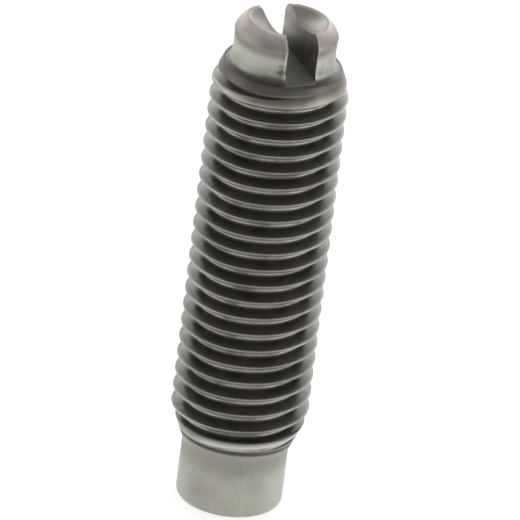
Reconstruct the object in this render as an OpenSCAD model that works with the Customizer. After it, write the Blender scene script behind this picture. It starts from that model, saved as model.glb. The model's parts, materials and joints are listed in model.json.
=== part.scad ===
// Slotted adjusting screw, turned in one piece from bar: a plain dog point at the
// foot, a fine right-hand thread and a waisted, domed head with a screwdriver slot.
// Millimetres. The axis is +Z, and the screw stands on its dog point at z = 0.

/* [Thread] */
// Diameter over the thread's crests
thread_d = 7.75; // [7.4:0.05:8.4]
// Rise of the thread in one turn
pitch = 1; // [0.8:0.05:1.2]
// Width of the flat left on each crest
crest_w = 0.17; // [0.05:0.01:0.25]
// Width of the flat at the bottom of the groove
root_w = 0.14; // [0.04:0.01:0.2]
// Included angle between the thread's flanks
flank_angle = 60; // [50:1:70]
// Turn of the thread about the axis, which sets where its groove runs out
thread_start = 280; // [0:5:355]
// Length from the dog point to the shoulder, with the tapers at both ends
shank_l = 23.3; // [12:0.5:60]
// Length of the taper that leads the thread in
lead_l = 2.1; // [1.5:0.1:4]
// Length of the taper that ends the thread at the shoulder
chamfer_l = 1.3; // [0.8:0.05:3]
// Diameter of the shoulder, where that taper has come in
shoulder_d = 6.68; // [6.6:0.02:7]
// Length below the shoulder over which the thread's groove runs out
runout_l = 0.8; // [0.6:0.1:4]

/* [Dog point] */
// Diameter of the plain dog point
dog_d = 6; // [4.8:0.05:6.2]
// Length of the plain dog point
dog_l = 3.6; // [2:0.1:8]
// Radius that breaks the edge of the dog point's end
dog_round = 0.5; // [0.2:0.05:1.2]

/* [Head] */
// Height of the head's rim above the shoulder
head_h = 2.7; // [2.5:0.05:6]
// Diameter of the head at its widest
head_d = 5.84; // [5.76:0.02:5.96]
// Diameter of the head at its waist
waist_d = 5.74; // [5.32:0.02:5.8]
// Height of the waist above the shoulder
waist_h = 1.1; // [0.8:0.05:1.2]
// Fillet where the head rises from the shoulder
foot_round = 0.45; // [0.15:0.05:0.6]
// Radius that rounds the head up to its rim
dome_round = 1.5; // [1.4:0.05:1.9]
// Diameter of the circle that the rounding is centred on
dome_d = 3.06; // [2.88:0.02:3.2]
// Diameter of the dish in the top of the head, at the rim
dish_d = 4.5; // [3.6:0.05:4.8]
// Depth of the dish below the rim
dish_depth = 0.55; // [0.2:0.05:0.8]

/* [Slot] */
// Width of the screwdriver slot
slot_w = 1.75; // [1:0.05:2.2]
// Depth of the slot below the rim
slot_depth = 2.55; // [1.2:0.05:2.7]

/* [Hidden] */
$fn = 96;

// Segments in one turn of the thread
turn_segments = 48;
// Each land of the thread has four edges: root, crest, crest, root
land_edge_count = 4;
// How far the dog point and the head reach into the shank that they grow from
root_in = 0.4;
// Narrow lip of the shank around the dog point
dog_lip = 0.015;
// Height of the straight band between the waist and the rounding above it
brow_h = 0.06;
// How far the cut of the slot stands clear above the rim
slot_clear = 0.4;

crest_r = thread_d / 2;
thread_depth = (pitch - crest_w - root_w) / 2 / tan(flank_angle / 2);
root_r = crest_r - thread_depth;
dog_r = dog_d / 2;
shank_z0 = dog_l;
shank_z1 = dog_l + shank_l;
shank_end_r = dog_r / cos(180 / turn_segments) + dog_lip;
rim_z = shank_z1 + head_h;

// Turns whose lands lie on the shank, with one to spare at each end
first_turn = floor(shank_z0 / pitch) - 2;
turns = ceil(shank_l / pitch) + 4;
column_size = turns * land_edge_count;

// ---- Thread ----

// Radius that the two tapers allow at height z
function taper_r(z) = min(
    crest_r,
    shank_end_r + (z - shank_z0) * (crest_r - shank_end_r) / lead_l,
    shoulder_d / 2 + (shank_z1 - z) * (crest_r - shoulder_d / 2) / chamfer_l
);

// How far the threading tool has been drawn out of the groove at height z
function tool_out(z) = max(0, z - shank_z1 + runout_l) * thread_depth / runout_l;

// How far below a full crest the flanks of a land end at height z
function flank_drop(z) = min(thread_depth, crest_r - taper_r(z) + tool_out(z));

// Half the width of a land whose flanks end that far down
function half_land(drop) = crest_w / 2 + drop * tan(flank_angle / 2);

// Height where one flank of the land at z_land meets its crest; side is -1 below, 1 above
function crest_edge_z(z_land, side, z, steps = 6) =
    steps == 0 ? z
    : crest_edge_z(z_land, side, z_land + side * half_land(flank_drop(z)), steps - 1);

// Height of a land's edge: 0 and 3 at the root, 1 and 2 at the crest
function edge_z(z_land, edge) =
    let (side = edge < 2 ? -1 : 1)
    edge == 1 || edge == 2 ? crest_edge_z(z_land, side, z_land)
    : z_land + side * half_land(thread_depth);

function knot_z(column, knot) =
    let (turn = first_turn + floor(knot / land_edge_count) + column / turn_segments)
    edge_z(pitch * turn, knot % land_edge_count);

function knot_r(z, knot) =
    let (edge = knot % land_edge_count)
    edge == 1 || edge == 2 ? taper_r(z) : min(root_r + tool_out(z), taper_r(z));

function knot_point(column, knot) =
    let (
        z = max(shank_z0, min(shank_z1, knot_z(column, knot))),
        r = z == shank_z0 || z == shank_z1 ? taper_r(z) : knot_r(z, knot),
        angle = thread_start + 360 * column / turn_segments
    )
    [r * cos(angle), r * sin(angle), z];

// Last knot at or below the shank's foot, and first one at or above its shoulder
first_knots = [for (c = [0:turn_segments - 1])
    max([for (k = [0:column_size - 1]) if (knot_z(c, k) <= shank_z0) k])];
last_knots = [for (c = [0:turn_segments - 1])
    min([for (k = [0:column_size - 1]) if (knot_z(c, k) >= shank_z1) k])];

// One turn on, a column is the first one again, a whole land further up
function knot_index(column, knot) =
    column == turn_segments ? knot_index(0, knot + land_edge_count)
    : column * column_size + max(first_knots[column], min(last_knots[column], knot));

function is_triangle(t) = t[0] != t[1] && t[1] != t[2] && t[2] != t[0];

module threaded_shank() {
    points = [for (c = [0:turn_segments - 1], k = [0:column_size - 1]) knot_point(c, k)];
    sides = [for (c = [0:turn_segments - 1], k = [-land_edge_count:column_size - 2])
        let (
            a = knot_index(c, k),
            b = knot_index(c + 1, k),
            d = knot_index(c, k + 1),
            e = knot_index(c + 1, k + 1)
        )
        each [[a, d, e], [a, e, b]]
    ];
    foot = [for (c = [0:turn_segments - 1]) knot_index(c, 0)];
    shoulder = [for (c = [turn_segments - 1:-1:0]) knot_index(c, column_size - 1)];
    polyhedron(points, concat([for (t = sides) if (is_triangle(t)) t], [foot, shoulder]));
}

// ---- Dog point ----

module dog_point() {
    rotate_extrude() {
        square([dog_r - dog_round, dog_l]);
        translate([0, dog_round])
            square([dog_r, dog_l - dog_round + root_in]);
        translate([dog_r - dog_round, dog_round])
            circle(dog_round);
    }
}

// ---- Head ----

head_r = head_d / 2;
waist_r = waist_d / 2;
dome_r = dome_d / 2;
dish_r = dish_d / 2;
waist_z = shank_z1 + waist_h;
// The rounding is at the rim's height where the dish meets it
dome_z = rim_z - sqrt(pow(dome_round, 2) - pow(dish_r - dome_r, 2));
// A straight brow lies below where the rounding comes out to the head's widest
brow_z = dome_z + sqrt(pow(dome_round, 2) - pow(head_r - dome_r, 2)) - brow_h;
// One arc hollows the waist and comes out at the brow
waist_in = head_r - waist_r;
waist_arc = (pow(brow_z - waist_z, 2) + pow(waist_in, 2)) / (2 * waist_in);
waist_arc_x = waist_r + waist_arc;
// The foot's fillet runs into the waist's arc without a step
foot_z = shank_z1 + foot_round;
foot_x = waist_arc_x - sqrt(pow(waist_arc - foot_round, 2) - pow(foot_z - waist_z, 2));
foot_top = foot_z + foot_round * (foot_z - waist_z) / (waist_arc - foot_round);
// The dish is part of a sphere
dish_arc = (pow(dish_r, 2) + pow(dish_depth, 2)) / (2 * dish_depth);

module head_section() {
    // Foot, filleted to the shoulder
    difference() {
        translate([0, shank_z1 - root_in])
            square([foot_x, foot_top - shank_z1 + root_in]);
        translate([foot_x, foot_z])
            circle(foot_round);
    }
    difference() {
        // Bar of the head's widest, rounded over at the top
        intersection() {
            translate([0, shank_z1])
                square([head_r, head_h]);
            union() {
                translate([0, shank_z1])
                    square([dome_r + dome_round, dome_z - shank_z1]);
                translate([0, dome_z])
                    square([dome_r, dome_round]);
                translate([dome_r, dome_z])
                    circle(dome_round);
            }
        }
        // Waist
        translate([waist_arc_x, waist_z])
            circle(waist_arc);
        // Dish
        translate([0, rim_z - dish_depth + dish_arc])
            circle(dish_arc);
    }
}

module head() {
    difference() {
        rotate_extrude()
            head_section();
        translate([-slot_w / 2, -thread_d, rim_z - slot_depth])
            cube([slot_w, 2 * thread_d, slot_depth + slot_clear]);
    }
}

module adjusting_screw() {
    color([0.6, 0.58, 0.54]) {
        dog_point();
        threaded_shank();
        head();
    }
}

adjusting_screw();
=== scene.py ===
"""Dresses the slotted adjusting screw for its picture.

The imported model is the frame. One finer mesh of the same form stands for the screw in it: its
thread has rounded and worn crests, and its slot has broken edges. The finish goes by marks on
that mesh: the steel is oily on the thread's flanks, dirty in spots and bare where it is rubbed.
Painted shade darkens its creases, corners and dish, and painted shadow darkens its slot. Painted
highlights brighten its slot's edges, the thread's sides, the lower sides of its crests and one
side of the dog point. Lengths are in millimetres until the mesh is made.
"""
import json
import math

import bmesh
import bpy
import numpy as np
from mathutils import Matrix, Vector, noise


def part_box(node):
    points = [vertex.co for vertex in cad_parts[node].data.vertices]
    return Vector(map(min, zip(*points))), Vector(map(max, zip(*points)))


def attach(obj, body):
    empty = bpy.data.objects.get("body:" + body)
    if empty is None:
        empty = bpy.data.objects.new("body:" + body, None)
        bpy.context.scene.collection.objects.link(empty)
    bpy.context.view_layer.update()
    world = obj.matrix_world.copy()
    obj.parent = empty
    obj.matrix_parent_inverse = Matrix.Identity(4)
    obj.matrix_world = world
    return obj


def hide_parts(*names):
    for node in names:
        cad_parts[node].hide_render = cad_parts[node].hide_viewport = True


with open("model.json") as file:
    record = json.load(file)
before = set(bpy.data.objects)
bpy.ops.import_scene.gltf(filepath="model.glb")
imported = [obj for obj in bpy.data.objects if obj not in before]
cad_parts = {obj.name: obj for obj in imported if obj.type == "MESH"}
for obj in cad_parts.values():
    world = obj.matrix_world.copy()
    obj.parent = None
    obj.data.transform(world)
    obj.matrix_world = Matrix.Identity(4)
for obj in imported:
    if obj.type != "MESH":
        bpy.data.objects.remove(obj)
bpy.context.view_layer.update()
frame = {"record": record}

MM = 0.001
SCREW = "adjusting_screw"

# ---- Sizes ----

mounts = {mount["name"]: mount for mount in frame["record"]["mounts"]}
rim_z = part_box(SCREW)[1].z / MM
slot_z = mounts["slot"]["pos_m"][2] / MM
crest_r = mounts["thread"]["dims"]["r_mm"]
dog_r = mounts["dog_point"]["dims"]["r_mm"]

# Sizes of the part that its record doesn't hold
pitch = 1.0
crest_w = 0.17
root_w = 0.14
half_flank = math.radians(30)
thread_start = math.radians(280)
lead_l = 2.1
chamfer_l = 1.3
runout_l = 0.8
shoulder_r = 3.34

dog_l = 3.6
dog_round = 0.5
dog_lip = 0.022

head_h = 2.7
head_r = 2.92
waist_r = 2.87
waist_h = 1.1
foot_round = 0.45
dome_round = 1.5
dome_r = 1.53
dish_r = 2.25
dish_depth = 0.55
brow_h = 0.06
half_slot = 0.875

shank_z0 = dog_l
shank_z1 = rim_z - head_h
lead_r = dog_r + dog_lip
thread_depth = (pitch - crest_w - root_w) / 2 / math.tan(half_flank)
root_r = crest_r - thread_depth

# How far the corners of the turned outline are rounded, and the short steps that this takes
outline_blur = 0.06
outline_step = 0.01
# Steps in which the outline's small roundings and its long curves are drawn before that
corner_steps = 12
curve_steps = 20
# Part of the thread's depth that a crest can be lowered by at the most, so that it keeps flanks
full_drop = 0.97
# Each corner of a land, going up it: how far it is rounded before and after the corner, the
# most that this may take of the straight parts there, and in how many steps. The load on the
# screw has worn the lower side of the crests.
corner_wear = [
    ((0.06, 0.06), (0.45, 0.45), 2),
    ((0.25, 0.08), (0.45, 0.5), 3),
    ((0.05, 0.13), (0.3, 0.45), 3),
    ((0.06, 0.06), (0.45, 0.45), 2),
]
# Where the flank that faces up has knots of its own, as parts of the way down it
flank_parts = (0.25, 0.75)
# Bevel that breaks the slot's edges
slot_break = 0.07
# Edges that turn by more than this stay sharp
sharp_turn = math.radians(50)
# Where the screw was knocked, as place, reach and push: a chip beside the slot, a nick in a
# crest, and two blunted tips
dents = [
    ((-1.12, -2.67, 27.75), 0.4, (0.05, 0.11, 0)),
    ((1.25, -3.67, 13.9), 0.25, (-0.02, 0.06, 0)),
    ((-0.88, 2.07, 29.6), 0.5, (-0.08, -0.03, -0.08)),
    ((0.88, 2.07, 29.6), 0.5, (0.06, -0.03, -0.06)),
]
# Where it is brighter, as place, reach and share: rubbed bright by the chip and at the nick, and
# a painted highlight on the dog point's +X side
rubs_and_highlights = [
    ((-0.92, -2.77, 27.33), 0.2, 1),
    ((1.25, -3.67, 13.9), 0.2, 1),
    ((2, -2.2, 1.2), 2.6, 0.45),
]
# Darker spots, as place, reach and share. On the outside of the head: one low by the slot on the
# +X half, painted shade in the crease by the slot on the -X half, and painted shade over the dome
# of the +X half
head_dirt_and_shade = [
    ((1.15, -2.6, 27.35), 0.75, 0.6),
    ((-1, -2.65, 28.55), 0.6, 0.7),
    ((2.2, -1.2, 28.8), 2, 0.6),
]
# Elsewhere: darker in the chip beside the slot, and painted shade on the dog point's -X side
other_dirt_and_shade = [
    ((-1.12, -2.67, 27.75), 0.4, 0.7),
    ((-2.5, -1.6, 1.5), 1.8, 0.3),
]
# Height of the crease between the head's waist and its dome, above the shoulder
crease_h = 1.7
# Direction from the axis of the two sides, left and right as the camera sees them, where less of
# each crest is oily as a painted highlight, and how much less, as part of a pitch
highlit_sides_turn = math.radians(-22.5)
highlit_sides_back = 0.11
# Oil on the side of a land that faces up: parts of a pitch above the land's middle, and the
# share of oil that lies there
oil_places = [-0.15, -0.07, 0, 0.04, 0.1, 0.21, 0.33, 0.4, 0.43, 0.5]
oil_shares = [0, 0.08, 0.6, 0.9, 0.94, 0.97, 1, 0.85, 0.25, 0]
# How far the surface waves in from the turned form, and over what length
wave_depth = 0.02
wave_length = 0.6

# ---- Grid ----

# Each ring of points is cut into the two halves of the head and the two ends of the slot
horn_steps = 78
slot_steps = 18
ring_steps = 2 * (horn_steps + slot_steps)
# The rings start where the slot's front end meets the half of the head on +X
ring_start = -math.pi * horn_steps / ring_steps
# The thread's own grid stops short of the shank's ends, whose corners the outline rounds
thread_trim = 0.1


def even_angles():
    """Angles round a ring in even steps; the last is the first one again, a turn on."""
    return ring_start + 2 * math.pi * np.arange(ring_steps + 1) / ring_steps


def slot_angles(radius):
    """Angles round a ring whose corners lie on the slot's walls."""
    edge = math.acos(half_slot / radius)
    horn = np.linspace(-edge, edge, horn_steps + 1)
    slot_end = np.linspace(edge, math.pi - edge, slot_steps + 1)[1:-1]
    half = np.concatenate([horn, slot_end])
    return np.concatenate([half, half + math.pi, half[:1] + 2 * math.pi])


def round_points(radius, height, angle):
    """Points about the axis; the three numbers may be arrays that broadcast."""
    radius, height, angle = np.broadcast_arrays(radius, height, angle)
    return np.stack([radius * np.cos(angle), radius * np.sin(angle), height], -1)


class Surface:
    """A closed surface that is put together from grids of points."""

    def __init__(self):
        self.points = np.empty((0, 3))
        self.faces = []
        self.broken_edges = []

    def add_points(self, points):
        """Adds points and returns their numbers, laid out as the points are."""
        first = len(self.points)
        self.points = np.vstack([self.points, points.reshape(-1, 3)])
        return first + np.arange(points[..., 0].size).reshape(points.shape[:-1])

    def add_rings(self, rings):
        """Adds rings of points that leave out their last point, which is the first again."""
        numbers = self.add_points(rings[:, :-1])
        return np.hstack([numbers, numbers[:, :1]])

    def add_grid(self, grid):
        """Adds the faces between the rows of a grid of point numbers."""
        corners = (grid[:-1, :-1], grid[:-1, 1:], grid[1:, 1:], grid[1:, :-1])
        for quad in np.stack(corners, -1).reshape(-1, 4).tolist():
            face = list(dict.fromkeys(quad))
            if len(face) > 2:
                self.faces.append(face)

    def add_patch(self, bottom, top, left, right, drape=None):
        """Fills four rows of point numbers that meet at their ends with a blend between them."""
        sides = [self.points[row] for row in (bottom, top, left, right)]
        across = np.linspace(0, 1, len(bottom))[None, :, None]
        up = np.linspace(0, 1, len(left))[:, None, None]
        blend = (1 - up) * sides[0] + up * sides[1]
        blend = blend + (1 - across) * sides[2][:, None] + across * sides[3][:, None]
        blend = blend - (1 - up) * ((1 - across) * sides[0][0] + across * sides[0][-1])
        blend = blend - up * ((1 - across) * sides[1][0] + across * sides[1][-1])
        inner = blend[1:-1, 1:-1]
        if drape:
            inner[..., 2] = drape(np.hypot(inner[..., 0], inner[..., 1]))
        middle = self.add_points(inner)
        middle = np.hstack([left[1:-1, None], middle, right[1:-1, None]])
        self.add_grid(np.vstack([bottom, middle, top]))

    def break_edge(self, row):
        """Marks the edges along a row of point numbers to be bevelled."""
        self.broken_edges += zip(row[:-1].tolist(), row[1:].tolist())


# ---- Thread ----


def taper_r(z):
    """Radius that the tapers at the two ends of the thread allow."""
    lead = lead_r + (z - shank_z0) * (crest_r - lead_r) / lead_l
    chamfer = shoulder_r + (shank_z1 - z) * (crest_r - shoulder_r) / chamfer_l
    return np.minimum(crest_r, np.minimum(lead, chamfer))


def tool_out(z):
    """How far the threading tool has been drawn out of the groove."""
    return np.maximum(0, z - shank_z1 + runout_l) * thread_depth / runout_l


def half_land(drop):
    """Half the width of a land, as far below its crest as drop."""
    return crest_w / 2 + drop * math.tan(half_flank)


def crest_corner(z_land, side):
    """Corner between a land's crest and its flank, below it for side -1 and above for 1."""
    z = z_land
    # The drop depends on the corner's own height, which a few passes settle
    for _ in range(6):
        drop = np.minimum(thread_depth * full_drop, crest_r - taper_r(z) + tool_out(z))
        z = z_land + side * half_land(drop)
    return np.stack([z, taper_r(z)], -1)


def root_corner(z_land, side):
    z = z_land + side * half_land(thread_depth)
    return np.stack([z, np.minimum(root_r + tool_out(z), taper_r(z))], -1)


def rounded(before, corner, after, reaches, shares, steps):
    """A corner's points, rounded over from one reach before it to the other one after it."""
    ends = []
    for other, reach, share in zip((before, after), reaches, shares):
        way = other - corner
        length = np.maximum(np.linalg.norm(way, axis=-1, keepdims=True), 1e-9)
        ends.append(corner + way * np.minimum(reach / length, share))
    parts = np.linspace(0, 1, steps + 1)
    return [(1 - t) ** 2 * ends[0] + 2 * t * (1 - t) * corner + t**2 * ends[1] for t in parts]


def thread_knots(angle):
    """Height and radius of every knot of the thread, in one column for each angle."""
    # Lands that cross the shank, with some to spare at each end
    turns = np.arange(math.floor(shank_z0 / pitch) - 3, math.ceil(shank_z1 / pitch) + 3)
    z_land = pitch * (turns[:, None] + (angle[None] - thread_start) / (2 * math.pi))
    corners = [root_corner(z_land, -1), crest_corner(z_land, -1)]
    corners += [crest_corner(z_land, 1), root_corner(z_land, 1)]
    around = [root_corner(z_land - pitch, 1), *corners, root_corner(z_land + pitch, -1)]
    knots = [rounded(*around[i : i + 3], *wear) for i, wear in enumerate(corner_wear)]
    crest, root = knots[2][-1], knots[3][0]
    knots.insert(3, [(1 - part) * crest + part * root for part in flank_parts])
    return np.stack(sum(knots, []), 1).reshape(-1, len(angle), 2)


def add_thread(surface):
    """Adds the threaded shank and returns the point numbers of the rings at its two ends."""
    low, high = shank_z0 + thread_trim, shank_z1 - thread_trim
    end_z = np.array([[low], [high]])
    ends = surface.add_rings(round_points(taper_r(end_z), end_z, even_angles()))
    angle = even_angles()[:-1]
    knots = thread_knots(angle)
    z, radius = knots[..., 0], knots[..., 1]
    numbers = surface.add_points(round_points(radius, z, angle))
    # Knots beyond the thread's ends are the points of the rings there
    numbers = np.where(z <= low, ends[0, :-1], np.where(z >= high, ends[1, :-1], numbers))
    # One turn on, the first column comes round again a whole land further up
    land_knots = sum(steps + 1 for *_, steps in corner_wear) + len(flank_parts)
    again = np.concatenate([numbers[land_knots:, 0], np.full(land_knots, ends[1, 0])])
    surface.add_grid(np.hstack([numbers, again[:, None]]))
    return ends


# ---- Turned outline ----


def arc(centre, radius, first, last, steps):
    """Points of an arc in the screw's section, as radius and height; angles in radians."""
    angle = np.linspace(first, last, steps + 1)
    return np.stack(
        [centre[0] + radius * np.cos(angle), centre[1] + radius * np.sin(angle)], -1
    )


def softened(outline):
    """The outline in short even steps, with its corners blurred."""
    outline = np.array(outline)
    length = np.concatenate([[0], np.cumsum(np.hypot(*np.diff(outline, axis=0).T))])
    even = np.linspace(0, length[-1], round(length[-1] / outline_step) + 1)
    fine = np.stack([np.interp(even, length, part) for part in outline.T], -1)
    reach = round(2 * outline_blur / outline_step)
    weight = np.exp(-0.5 * (np.arange(-reach, reach + 1) * outline_step / outline_blur) ** 2)
    before = 2 * fine[:1] - fine[reach:0:-1]
    after = 2 * fine[-1:] - fine[-2 : -reach - 2 : -1]
    padded = np.vstack([before, fine, after])
    return np.stack([np.convolve(part, weight / weight.sum(), "valid") for part in padded.T], -1)


def in_steps(outline, steps):
    """That many even steps along a fine outline."""
    return outline[np.linspace(0, len(outline) - 1, steps + 1).round().astype(int)]


def dog_outline():
    """From the middle of the dog point's end out to its side and up to the thread."""
    corner = arc((dog_r - dog_round, dog_round), dog_round, -math.pi / 2, 0, corner_steps)
    end_z = shank_z0 + thread_trim
    return softened(
        [(0, 0), *corner, (dog_r, dog_l), (lead_r, shank_z0), (float(taper_r(end_z)), end_z)]
    )


def dish_z(radius):
    dish_arc = (dish_r**2 + dish_depth**2) / (2 * dish_depth)
    return rim_z - dish_depth + dish_arc - np.sqrt(dish_arc**2 - radius**2)


def head_outline():
    """From the end of the thread over the shoulder and up the head, then into its dish."""
    waist_z = shank_z1 + waist_h
    dome_z = rim_z - math.sqrt(dome_round**2 - (dish_r - dome_r) ** 2)
    dome_foot = math.sqrt(dome_round**2 - (head_r - dome_r) ** 2)
    brow_z = dome_z + dome_foot - brow_h
    waist_in = head_r - waist_r
    waist_arc = ((brow_z - waist_z) ** 2 + waist_in**2) / (2 * waist_in)
    waist_x = waist_r + waist_arc
    foot_z = shank_z1 + foot_round
    foot_x = waist_x - math.sqrt((waist_arc - foot_round) ** 2 - (foot_z - waist_z) ** 2)
    foot_end = math.asin((waist_z - foot_z) / (waist_arc - foot_round)) - math.pi
    waist_end = -math.pi - math.asin((brow_z - waist_z) / waist_arc)
    start_z = shank_z1 - thread_trim
    inner_r = np.linspace(dish_r, inner_dish_r, curve_steps)
    return softened(
        [
            (float(taper_r(start_z)), start_z),
            (shoulder_r, shank_z1),
            *arc((foot_x, foot_z), foot_round, -math.pi / 2, foot_end, corner_steps),
            *arc((waist_x, waist_z), waist_arc, foot_end, waist_end, curve_steps),
            *arc(
                (dome_r, dome_z),
                dome_round,
                math.asin(dome_foot / dome_round),
                math.acos((dish_r - dome_r) / dome_round),
                curve_steps,
            ),
            *np.stack([inner_r, dish_z(inner_r)], -1)[1:],
        ]
    )


# ---- The screw's mesh ----

# Rows of points up the dog point, the foot of the head, the halves beside the slot, which the
# names call horns, and into the dish
dog_rows = 46
foot_rows = 14
horn_rows = 34
dish_rows = 9
# Inside this radius, the bottom of the dish is a patch of its own
inner_dish_r = 1.5
patch_steps = 38


def add_horn(surface, foot, horn_profile, dish_profile):
    """Adds one half of the head on its foot, a row of point numbers.

    Returns the row that runs along the foot of its wall in the slot.
    """
    middle = math.atan2(*surface.points[foot[horn_steps // 2]][1::-1])
    profile = np.vstack([horn_profile[1:], dish_profile[1:]])
    edge = np.arccos(half_slot / profile[:, :1])
    angle = middle + edge * np.linspace(-1, 1, horn_steps + 1)
    rows = surface.add_points(round_points(profile[:, :1], profile[:, 1:], angle))
    rows = np.vstack([foot, rows])
    surface.add_grid(rows)

    # Bottom of the dish, between its last row and the slot
    side, last = (horn_steps - patch_steps) // 2, rows[-1]
    share = np.linspace(0, 1, patch_steps + 1)[1:-1, None]
    ends = surface.points[[last[0], last[-1]]]
    chord = (1 - share) * ends[0] + share * ends[1]
    chord[:, 2] = dish_z(np.hypot(chord[:, 0], chord[:, 1]))
    chord = np.concatenate([last[:1], surface.add_points(chord), last[-1:]])
    surface.add_patch(last[side:-side], chord, last[side::-1], last[-side - 1 :], dish_z)

    # Wall of the slot
    rim = len(horn_profile) - 1
    wall_top = np.concatenate([rows[rim:-1, 0], chord, rows[-2 : rim - 1 : -1, -1]])
    share = np.linspace(0, 1, len(wall_top))[1:-1, None]
    ends = surface.points[[foot[0], foot[-1]]]
    wall_foot = surface.add_points((1 - share) * ends[0] + share * ends[1])
    wall_foot = np.concatenate([foot[:1], wall_foot, foot[-1:]])
    sides = rows[: rim + 1, 0], rows[: rim + 1, -1]
    surface.add_patch(wall_foot[::-1], wall_top[::-1], sides[1], sides[0])
    for row in (*sides, wall_top):
        surface.break_edge(row)
    return wall_foot


def add_head(surface, shoulder):
    """Adds the head on the ring of point numbers where the thread ends."""
    outline = head_outline()
    top = int(outline[:, 1].argmax())
    floor = int((outline[:top, 1] > slot_z).argmax())
    foot_profile = in_steps(outline[: floor + 1], foot_rows)
    share = np.linspace(0, 1, foot_rows + 1)[1:, None]
    angle = (1 - share) * even_angles() + share * slot_angles(foot_profile[-1, 0])
    rings = surface.add_rings(round_points(foot_profile[1:, :1], foot_profile[1:, 1:], angle))
    surface.add_grid(np.vstack([shoulder, rings]))

    horn_profile = in_steps(outline[floor : top + 1], horn_rows)
    dish_profile = in_steps(outline[top:], dish_rows)
    half = ring_steps // 2
    ring = rings[-1]
    walls = [
        add_horn(surface, ring[start : start + horn_steps + 1], horn_profile, dish_profile)
        for start in (0, half)
    ]
    back, front = ring[horn_steps : half + 1], ring[half + horn_steps :]
    surface.add_patch(front, back[::-1], walls[1][::-1], walls[0])
    surface.break_edge(back)
    surface.break_edge(front)


# ---- Wear and marks ----


def ramp(value, low, high):
    """Smooth step from 0 at low to 1 at high; low may be the greater."""
    share = np.clip((value - low) / (high - low), 0, 1)
    return share * share * (3 - 2 * share)


def near(value, centre, reach):
    """1 at the centre, fading to 0 at the reach on both sides of it."""
    return ramp(np.abs(value - centre), reach, 0)


def spot(points, place, reach):
    """1 at a place, fading to 0 at the reach from it."""
    return ramp(np.linalg.norm(points - place, axis=1), reach, 0)


def worn(points):
    """The points moved in toward the axis, slightly all over and deeper in the dents."""
    waves = [noise.noise(point) for point in (points / wave_length).tolist()]
    inward = wave_depth * (0.5 + 0.5 * np.array(waves))
    radius = np.maximum(np.hypot(points[:, 0], points[:, 1]), 1e-9)
    share = np.maximum(1 - inward / radius, 0)
    moved = points * np.stack([share, share, np.ones(len(points))], -1)
    for place, reach, push in dents:
        moved += spot(points, place, reach)[:, None] * push
    return moved


def on_thread(z):
    """Whether a height lies between the rings at the thread's two ends."""
    return (z >= shank_z0 + thread_trim) & (z <= shank_z1 - thread_trim)


def groove_depth(points):
    """How deep each point lies in the thread's groove, from 0 at the crests to 1."""
    radius = np.hypot(points[:, 0], points[:, 1])
    return np.clip((taper_r(points[:, 2]) - radius) / thread_depth, 0, 1)


def oil_and_shade_mark(points, above_land):
    """Oil on the thread's flanks that face up, darker round the shoulder, and painted shade in
    the corner at the head's foot.
    """
    x, y, z = points.T
    # Less oil on the crests at the left and right sides as the camera sees them: a painted
    # highlight
    highlit_side = np.abs(x * math.cos(highlit_sides_turn) + y * math.sin(highlit_sides_turn)) / crest_r
    lies = np.interp(above_land - highlit_sides_back * ramp(highlit_side, 0.25, 1), oil_places, oil_shares)
    # Where the thread isn't full, the oil stays in the groove
    full = ramp(z, shank_z0 + 1.25, shank_z0 + 1.45)
    full *= ramp(z, shank_z1 - chamfer_l + 0.2, shank_z1 - chamfer_l - 0.1)
    oil = on_thread(z) * lies * np.maximum(full, ramp(groove_depth(points), 0.02, 0.12))
    # Darker round the shoulder; painted shade in the corner at the head's foot
    shoulder = ramp(z, shank_z1 - 0.85, shank_z1 - 0.55) * ramp(z, shank_z1 + 0.25, shank_z1)
    return np.maximum.reduce([oil, 0.62 * shoulder, 0.75 * near(z, shank_z1 + 0.04, 0.2)])


def grime_and_shade_mark(points, on_head, in_slot):
    """Painted shade at the foot of the head, in its crease and its dish and round the dog point,
    and darker spots, some of them painted shade too.
    """
    x, y, z = points.T
    radius = np.hypot(x, y)
    outside = on_head * (1 - in_slot) * ramp(radius, 2.3, 2.5)
    in_dish = on_head * (1 - in_slot) * ramp(radius, 2.2, 2.0)
    # Painted shade round the top of the dog point; darker close below the shoulder
    below = 0.42 * near(z, shank_z0 - 0.2, 1.8)
    below += 0.25 * ramp(z, shank_z1 - 1.4, shank_z1 - 1) * (1 - on_head)
    # On the head's outside: darker low down, painted shade in the crease under the dome, and
    # spots
    on_outside = [
        0.4 * ramp(z, shank_z1 + 1.1, shank_z1 + 0.2),
        0.4 * near(z, shank_z1 + crease_h, 0.5),
        *(share * spot(points, place, reach) for place, reach, share in head_dirt_and_shade),
    ]
    return np.maximum.reduce(
        [
            below,
            # Painted shade in the corner at the head's foot, outside the slot
            0.9 * near(z, shank_z1 + 0.06, 0.34) * (1 - in_slot),
            outside * np.maximum.reduce(on_outside),
            # Painted shade in the dish beside the slot's wall, and in the dish's back
            0.8 * in_dish * ramp(np.abs(x), half_slot + 0.8, half_slot),
            0.85 * in_dish * ramp(y, -0.8, 1.2),
            *(share * spot(points, place, reach) for place, reach, share in other_dirt_and_shade),
        ]
    )


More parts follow.
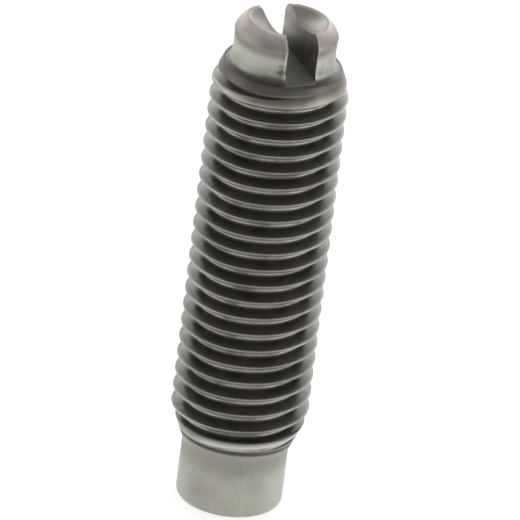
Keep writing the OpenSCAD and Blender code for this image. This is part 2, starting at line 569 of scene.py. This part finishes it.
def bare_and_highlight_mark(points):
    """Bright metal on the thread's first turn and where it was rubbed; worn slot edges with a
    painted highlight, stronger at -X; and a painted highlight on the dog point's +X side.
    """
    x, y, z = points.T
    first_turn = ramp(z, shank_z0 + 0.85, shank_z0 + 0.95)
    first_turn *= ramp(z, shank_z0 + 1.4, shank_z0 + 1.2)
    first_turn *= groove_depth(points) < 0.05
    # Worn slot edges with a painted highlight, stronger on the half at -X
    slot_edge_wear_and_highlight = (np.abs(x) > half_slot + 0.005) & (np.abs(x) < half_slot + 0.1)
    slot_edge_wear_and_highlight &= (z > slot_z + 0.1) & (np.hypot(x, y) > dish_r + 0.2)
    rubbed_and_lit = [share * spot(points, place, reach) for place, reach, share in rubs_and_highlights]
    return np.maximum.reduce([first_turn, slot_edge_wear_and_highlight * np.where(x < 0, 0.8, 0.25), *rubbed_and_lit])


def finish_marks(points):
    """What the finish depends on, for each point, by name."""
    x, y, z = points.T
    # Part of a pitch above the middle of the land
    turn = (np.arctan2(y, x) - thread_start) / (2 * math.pi)
    above_land = (z / pitch - turn + 0.5) % 1 - 0.5
    # Below the crests the steel is paler, partly as a painted highlight of the light from below
    below_crest = np.maximum(ramp(above_land, 0.06, -0.02), ramp(above_land, 0.39, 0.43))
    on_head = ramp(z, shank_z1 + 0.02, shank_z1 + 0.1)
    in_slot = on_head * ramp(np.abs(x), half_slot + 0.02, half_slot - 0.01)
    # Painted shadow in the slot, darker the deeper it goes and toward its front, and its floor a
    # little less so
    soot = in_slot * ramp(z + 0.45 * y, rim_z + 0.6, rim_z - 2.2)
    return {
        "oil": oil_and_shade_mark(points, above_land),
        "grime": grime_and_shade_mark(points, on_head, in_slot),
        "soot": soot * (0.96 - 0.16 * ramp(z, slot_z + 0.1, slot_z)),
        "bare": bare_and_highlight_mark(points),
        "thread": on_thread(z) * ramp(groove_depth(points), 0, 0.1) * below_crest,
    }


# ---- The piece ----


def screw_surface():
    surface = Surface()
    foot, shoulder = add_thread(surface)
    profile = in_steps(dog_outline(), dog_rows)[1:-1]
    rings = surface.add_rings(round_points(profile[:, :1], profile[:, 1:], even_angles()))
    middle = np.full((1, ring_steps + 1), surface.add_points(np.zeros((1, 3)))[0])
    surface.add_grid(np.vstack([middle, rings, foot]))
    add_head(surface, shoulder)
    surface.points = worn(surface.points)
    return surface


def surface_mesh(surface):
    """Mesh of a surface, with a bevel along the edges that it marks."""
    bm = bmesh.new()
    verts = [bm.verts.new(point) for point in surface.points * MM]
    for face in surface.faces:
        bm.faces.new([verts[i] for i in face])
    edges = [bm.edges.get((verts[a], verts[b])) for a, b in surface.broken_edges]
    # Knots beyond the thread's ends are in no face
    loose = [vert for vert in verts if not vert.link_faces]
    bmesh.ops.delete(bm, geom=loose, context="VERTS")
    bmesh.ops.bevel(
        bm,
        geom=edges,
        offset=slot_break * MM,
        offset_type="OFFSET",
        segments=2,
        profile=0.5,
        affect="EDGES",
        clamp_overlap=True,
    )
    mesh = bpy.data.meshes.new("screw")
    bm.to_mesh(mesh)
    bm.free()
    mesh.polygons.foreach_set("use_smooth", np.ones(len(mesh.polygons), bool))
    mesh.set_sharp_from_angle(angle=sharp_turn)
    return mesh


def add_object(name, data):
    added = bpy.data.objects.new(name, data)
    bpy.context.scene.collection.objects.link(added)
    return added


def build_screw():
    """The screw as one object, with the marks that its finish goes by on its points."""
    mesh = surface_mesh(screw_surface())
    points = np.empty(len(mesh.vertices) * 3)
    mesh.vertices.foreach_get("co", points)
    for name, values in finish_marks(points.reshape(-1, 3) / MM).items():
        mesh.attributes.new(name, "FLOAT", "POINT").data.foreach_set("value", values)
    return add_object("turned_screw", mesh)


screw = build_screw()
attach(screw, "root")
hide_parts(SCREW)

# ---- Studio ----

camera_azimuth = math.radians(-22.5)
camera_elevation = math.radians(25)
camera_roll = math.radians(7.2)
# Width that the camera takes in at the screw, and where it aims: height, and offset sideways
view_width = 28.97
aim_z = 14.762
aim_side = 0.11
lens = 1200
sensor = 36

floor_size = 2000
# Glow that shows the floor white, and grey of the floor on which the shadow falls
floor_white = 0.78
shadow_grey = 0.35
# Grey of the card that lights the screw from below
card_grey = 0.8
# Light of the room on the screw, with its colour
room_light = 0.55
room_colour = (1, 0.99, 0.97, 1)
# How bright the room's front side, about this high up, is in reflections
front_light = 0.06
front_elevation = math.radians(20)

# Square softboxes that face the screw: name, azimuth and elevation in degrees, size and watts
lamp_distance = 200
lamps = [
    ("top_softbox", 180, 75, 160, 0.08),
    ("right_softbox", 148, 20, 120, 0.15),
    ("right_fill", 75, 0, 120, 0.155),
    ("left_fill", -85, 5, 120, 0.06),
    ("left_softbox", -148, 20, 120, 0.10),
]


def toward(azimuth, elevation):
    """Unit vector from the screw; azimuth is measured to the right from the camera's side."""
    turn = camera_azimuth + azimuth
    flat = math.cos(elevation)
    return Vector((math.sin(turn) * flat, -math.cos(turn) * flat, math.sin(elevation)))


def add_camera():
    data = bpy.data.cameras.new("camera")
    data.lens = lens
    data.sensor_width = sensor
    camera = add_object("camera", data)
    back = toward(0, camera_elevation)
    level = Vector((math.cos(camera_azimuth), math.sin(camera_azimuth), 0))
    upright = back.cross(level)
    turn = Matrix.Rotation(camera_roll, 3, back)
    axes = Matrix((turn @ level, turn @ upright, back)).transposed()
    distance = view_width * lens / sensor
    aim = Vector((0, 0, aim_z)) + level * aim_side
    camera.matrix_world = Matrix.LocRotScale((aim + back * distance) * MM, axes, None)
    bpy.context.scene.camera = camera


def add_lamp(name, azimuth, elevation, size, watts):
    """Adds a softbox; angles in degrees."""
    way = toward(math.radians(azimuth), math.radians(elevation))
    data = bpy.data.lights.new(name, "AREA")
    data.shape = "SQUARE"
    data.size = size * MM
    data.energy = watts
    lamp = add_object(name, data)
    lamp.location = (way * lamp_distance + Vector((0, 0, rim_z / 2))) * MM
    lamp.rotation_euler = (-way).to_track_quat("-Z", "Y").to_euler()


# ---- Nodes ----


def cleared_tree(owner):
    """The node tree of a new material or world, with nothing in it."""
    owner.use_nodes = True
    owner.node_tree.nodes.clear()
    return owner.node_tree


def add_node(tree, kind, inputs=None, **settings):
    """Adds a node; an input is a value or another node's output."""
    node = tree.nodes.new("ShaderNode" + kind)
    for name, value in settings.items():
        setattr(node, name, value)
    for name, value in (inputs or {}).items():
        if isinstance(value, bpy.types.NodeSocket):
            tree.links.new(value, node.inputs[name])
        else:
            node.inputs[name].default_value = value
    return node


def maths(tree, operation, first, second):
    node = add_node(tree, "Math", {0: first, 1: second}, operation=operation)
    return node.outputs[0]


def between(tree, value, low, high, to_low=0.0, to_high=1.0):
    """Smooth step of a value, from to_low where it is low to to_high where it is high."""
    return add_node(
        tree,
        "MapRange",
        {"Value": value, "From Min": low, "From Max": high, "To Min": to_low, "To Max": to_high},
        interpolation_type="SMOOTHSTEP",
    ).outputs["Result"]


def band(tree, height, low, high, fade, strength):
    """The strength between two heights in millimetres, fading in and out inside them."""
    rise = between(tree, height, low * MM, (low + fade) * MM)
    fall = between(tree, height, (high - fade) * MM, high * MM, strength, 0)
    return maths(tree, "MULTIPLY", rise, fall)


def mixed(tree, share, first, second):
    """Colour between two colours or colour outputs."""
    node = add_node(tree, "Mix", data_type="RGBA")
    for index, value in ((0, share), (6, first), (7, second)):
        if isinstance(value, bpy.types.NodeSocket):
            tree.links.new(value, node.inputs[index])
        else:
            node.inputs[index].default_value = value
    return node.outputs[2]


def speckle(tree, place, scale, detail=3.0, **extra):
    """Noise whose grain is so many millimetres across."""
    return add_node(
        tree, "TexNoise", {"Vector": place, "Scale": 1 / (scale * MM), "Detail": detail, **extra}
    ).outputs["Fac"]


# ---- Background ----


def seen_rays(tree):
    """1 for the rays that show the background: to the camera, and in reflections and glass."""
    path = add_node(tree, "LightPath")
    seen = path.outputs["Is Camera Ray"]
    for name in ("Is Glossy Ray", "Is Transmission Ray"):
        seen = maths(tree, "MAXIMUM", seen, path.outputs[name])
    return seen


def light_world():
    """White all round to the camera; reflections show the dim room on the camera's side."""
    world = bpy.data.worlds.new("studio")
    bpy.context.scene.world = world
    tree = cleared_tree(world)
    way = add_node(tree, "TexCoord").outputs["Generated"]
    front = toward(0, front_elevation)
    side = add_node(tree, "VectorMath", {0: way, 1: front}, operation="DOT_PRODUCT")
    level = between(tree, side.outputs["Value"], -0.1, 0.85, 1, front_light)
    path = add_node(tree, "LightPath")
    level = maths(tree, "MAXIMUM", level, path.outputs["Is Camera Ray"])
    white = add_node(tree, "Background", {"Color": (1, 1, 1, 1), "Strength": level})
    room = add_node(tree, "Background", {"Color": room_colour, "Strength": room_light})
    both = add_node(
        tree, "MixShader", {0: seen_rays(tree), 1: room.outputs[0], 2: white.outputs[0]}
    )
    add_node(tree, "OutputWorld", {"Surface": both.outputs[0]})


def add_floor():
    """A floor that looks white, keeps the screw's shadow and lights the screw from below."""
    material = bpy.data.materials.new("white_floor")
    tree = cleared_tree(material)
    card = add_node(tree, "BsdfDiffuse", {"Color": (*[card_grey] * 3, 1)})
    shadow = add_node(tree, "BsdfDiffuse", {"Color": (*[shadow_grey] * 3, 1)})
    white = add_node(tree, "Emission", {"Color": (1, 1, 1, 1), "Strength": floor_white})
    shown = add_node(tree, "AddShader", {0: shadow.outputs[0], 1: white.outputs[0]})
    both = add_node(
        tree, "MixShader", {0: seen_rays(tree), 1: card.outputs[0], 2: shown.outputs[0]}
    )
    add_node(tree, "OutputMaterial", {"Surface": both.outputs[0]})
    mesh = bpy.data.meshes.new("floor")
    reach = floor_size / 2 * MM
    corners = [(-reach, -reach, 0), (reach, -reach, 0), (reach, reach, 0), (-reach, reach, 0)]
    mesh.from_pydata(corners, [], [(0, 1, 2, 3)])
    mesh.materials.append(material)
    floor = add_object("floor", mesh)


# ---- Steel ----

# Colours of the metal from place to place, of what lies on it, and of its painted shade and
# highlights
olive_steel = (0.39, 0.405, 0.315, 1)
pale_steel = (0.47, 0.455, 0.40, 1)
grey_steel = (0.46, 0.455, 0.415, 1)
dome_grey = (0.39, 0.375, 0.35, 1)
dome_red = (0.345, 0.285, 0.265, 1)
collar_tan = (0.415, 0.38, 0.34, 1)
# Paler steel below the crests, partly a painted highlight
groove_steel_and_highlight = (0.6, 0.57, 0.525, 1)
# Rubbed steel, also the colour of the painted highlights
rubbed_and_highlit_steel = (0.62, 0.61, 0.57, 1)
# Dirt, and painted shade
dirt_and_shade = (0.10, 0.098, 0.08, 1)
# Black of the oil, also laid on as the painted shadow in the slot and at the head's foot
black_oil_and_shade = (0.006, 0.0055, 0.004, 1)
brown_oil_and_shade = (0.016, 0.0125, 0.008, 1)


def turned_surface(tree, place):
    """Normals of the turning marks that run round the screw, with fine pits over them."""
    # Noise that is stretched across the axis gives marks that run round it
    turned = add_node(tree, "VectorMath", {0: place, 1: (0.04, 0.04, 1)}, operation="MULTIPLY")
    marks = speckle(tree, turned.outputs[0], 0.07)
    grain = speckle(tree, place, 0.12, Roughness=0.7)
    ridges = add_node(tree, "Bump", {"Height": marks, "Strength": 0.25, "Distance": 0.012 * MM})
    pits = add_node(
        tree,
        "Bump",
        {"Height": grain, "Strength": 0.4, "Distance": 0.02 * MM, "Normal": ridges.outputs[0]},
    )
    return pits.outputs[0]


def steel():
    material = bpy.data.materials.new("oily_steel")
    tree = cleared_tree(material)

    place = add_node(tree, "TexCoord").outputs["Object"]
    height = add_node(tree, "SeparateXYZ", {0: place}).outputs["Z"]
    oil, grime, soot, bare, thread = (
        add_node(tree, "Attribute", attribute_name=name).outputs["Fac"]
        for name in ("oil", "grime", "soot", "bare", "thread")
    )
    clouds = speckle(tree, place, 2.8, detail=1.0)
    patches = speckle(tree, place, 1.4)
    specks = speckle(tree, place, 0.35, Roughness=0.65)

    # Only the oil is sleek; the slot's painted shadow and the dirt that darken the steel as it
    # does are matt
    sleek = between(tree, oil, 0.5, 1, 1, 0.42)
    smear = maths(tree, "MULTIPLY", thread, between(tree, patches, 0.45, 0.65, 0, 0.5))
    # Dirt in a ring low on the cone that leads the thread in
    ring = band(tree, height, shank_z0 + 0.4, shank_z0 + 0.86, 0.18, 0.8)
    # The slot's painted shadow, the smears and the ring darken the steel as the oil does
    for dark_mark in (soot, smear, ring):
        oil = maths(tree, "MAXIMUM", oil, dark_mark)

    share = between(tree, patches, 0.38, 0.62)
    clean = mixed(tree, share, olive_steel, pale_steel)
    clean = mixed(tree, between(tree, specks, 0.3, 0.7), clean, grey_steel)
    on_dome = between(tree, height, (shank_z1 + 1.3) * MM, (shank_z1 + 1.8) * MM, 0, 0.9)
    clean = mixed(tree, on_dome, clean, mixed(tree, share, dome_grey, dome_red))
    collar = band(tree, height, shank_z1 - 1.7, shank_z1 + 0.2, 0.4, 0.7)
    clean = mixed(tree, collar, clean, collar_tan)
    # Paler steel below the crests and in the roots, partly a painted highlight
    clean = mixed(tree, thread, clean, groove_steel_and_highlight)
    # Dirt in clouds, and the painted shade of the creases, the head's foot, the dish and the dog
    # point
    dull_and_shaded = maths(tree, "MAXIMUM", grime, between(tree, clouds, 0.45, 0.7, 0, 0.35))
    clean = mixed(tree, dull_and_shaded, clean, dirt_and_shade)
    colour = mixed(tree, oil, clean, mixed(tree, share, black_oil_and_shade, brown_oil_and_shade))
    # Bare metal where rubbed, and painted highlights on the slot's edges and the dog point's +X
    # side
    colour = mixed(tree, bare, colour, rubbed_and_highlit_steel)

    rough = add_node(tree, "MapRange", {"Value": specks, "To Min": 0.34, "To Max": 0.52})
    clean_metal = between(tree, on_dome, 0, 0.9, 0.75, 0.35)
    bsdf = add_node(
        tree,
        "BsdfPrincipled",
        {
            "Base Color": colour,
            "Metallic": between(tree, oil, 0, 1, clean_metal, 0.1),
            "Roughness": maths(tree, "MULTIPLY", rough.outputs["Result"], sleek),
            "Specular IOR Level": 0.22,
            "Normal": turned_surface(tree, place),
        },
    )
    add_node(tree, "OutputMaterial", {"Surface": bsdf.outputs[0]})
    return material


screw.data.materials.append(steel())
add_camera()
add_floor()
light_world()
for lamp in lamps:
    add_lamp(*lamp)
bpy.context.scene.view_settings.view_transform = "Standard"
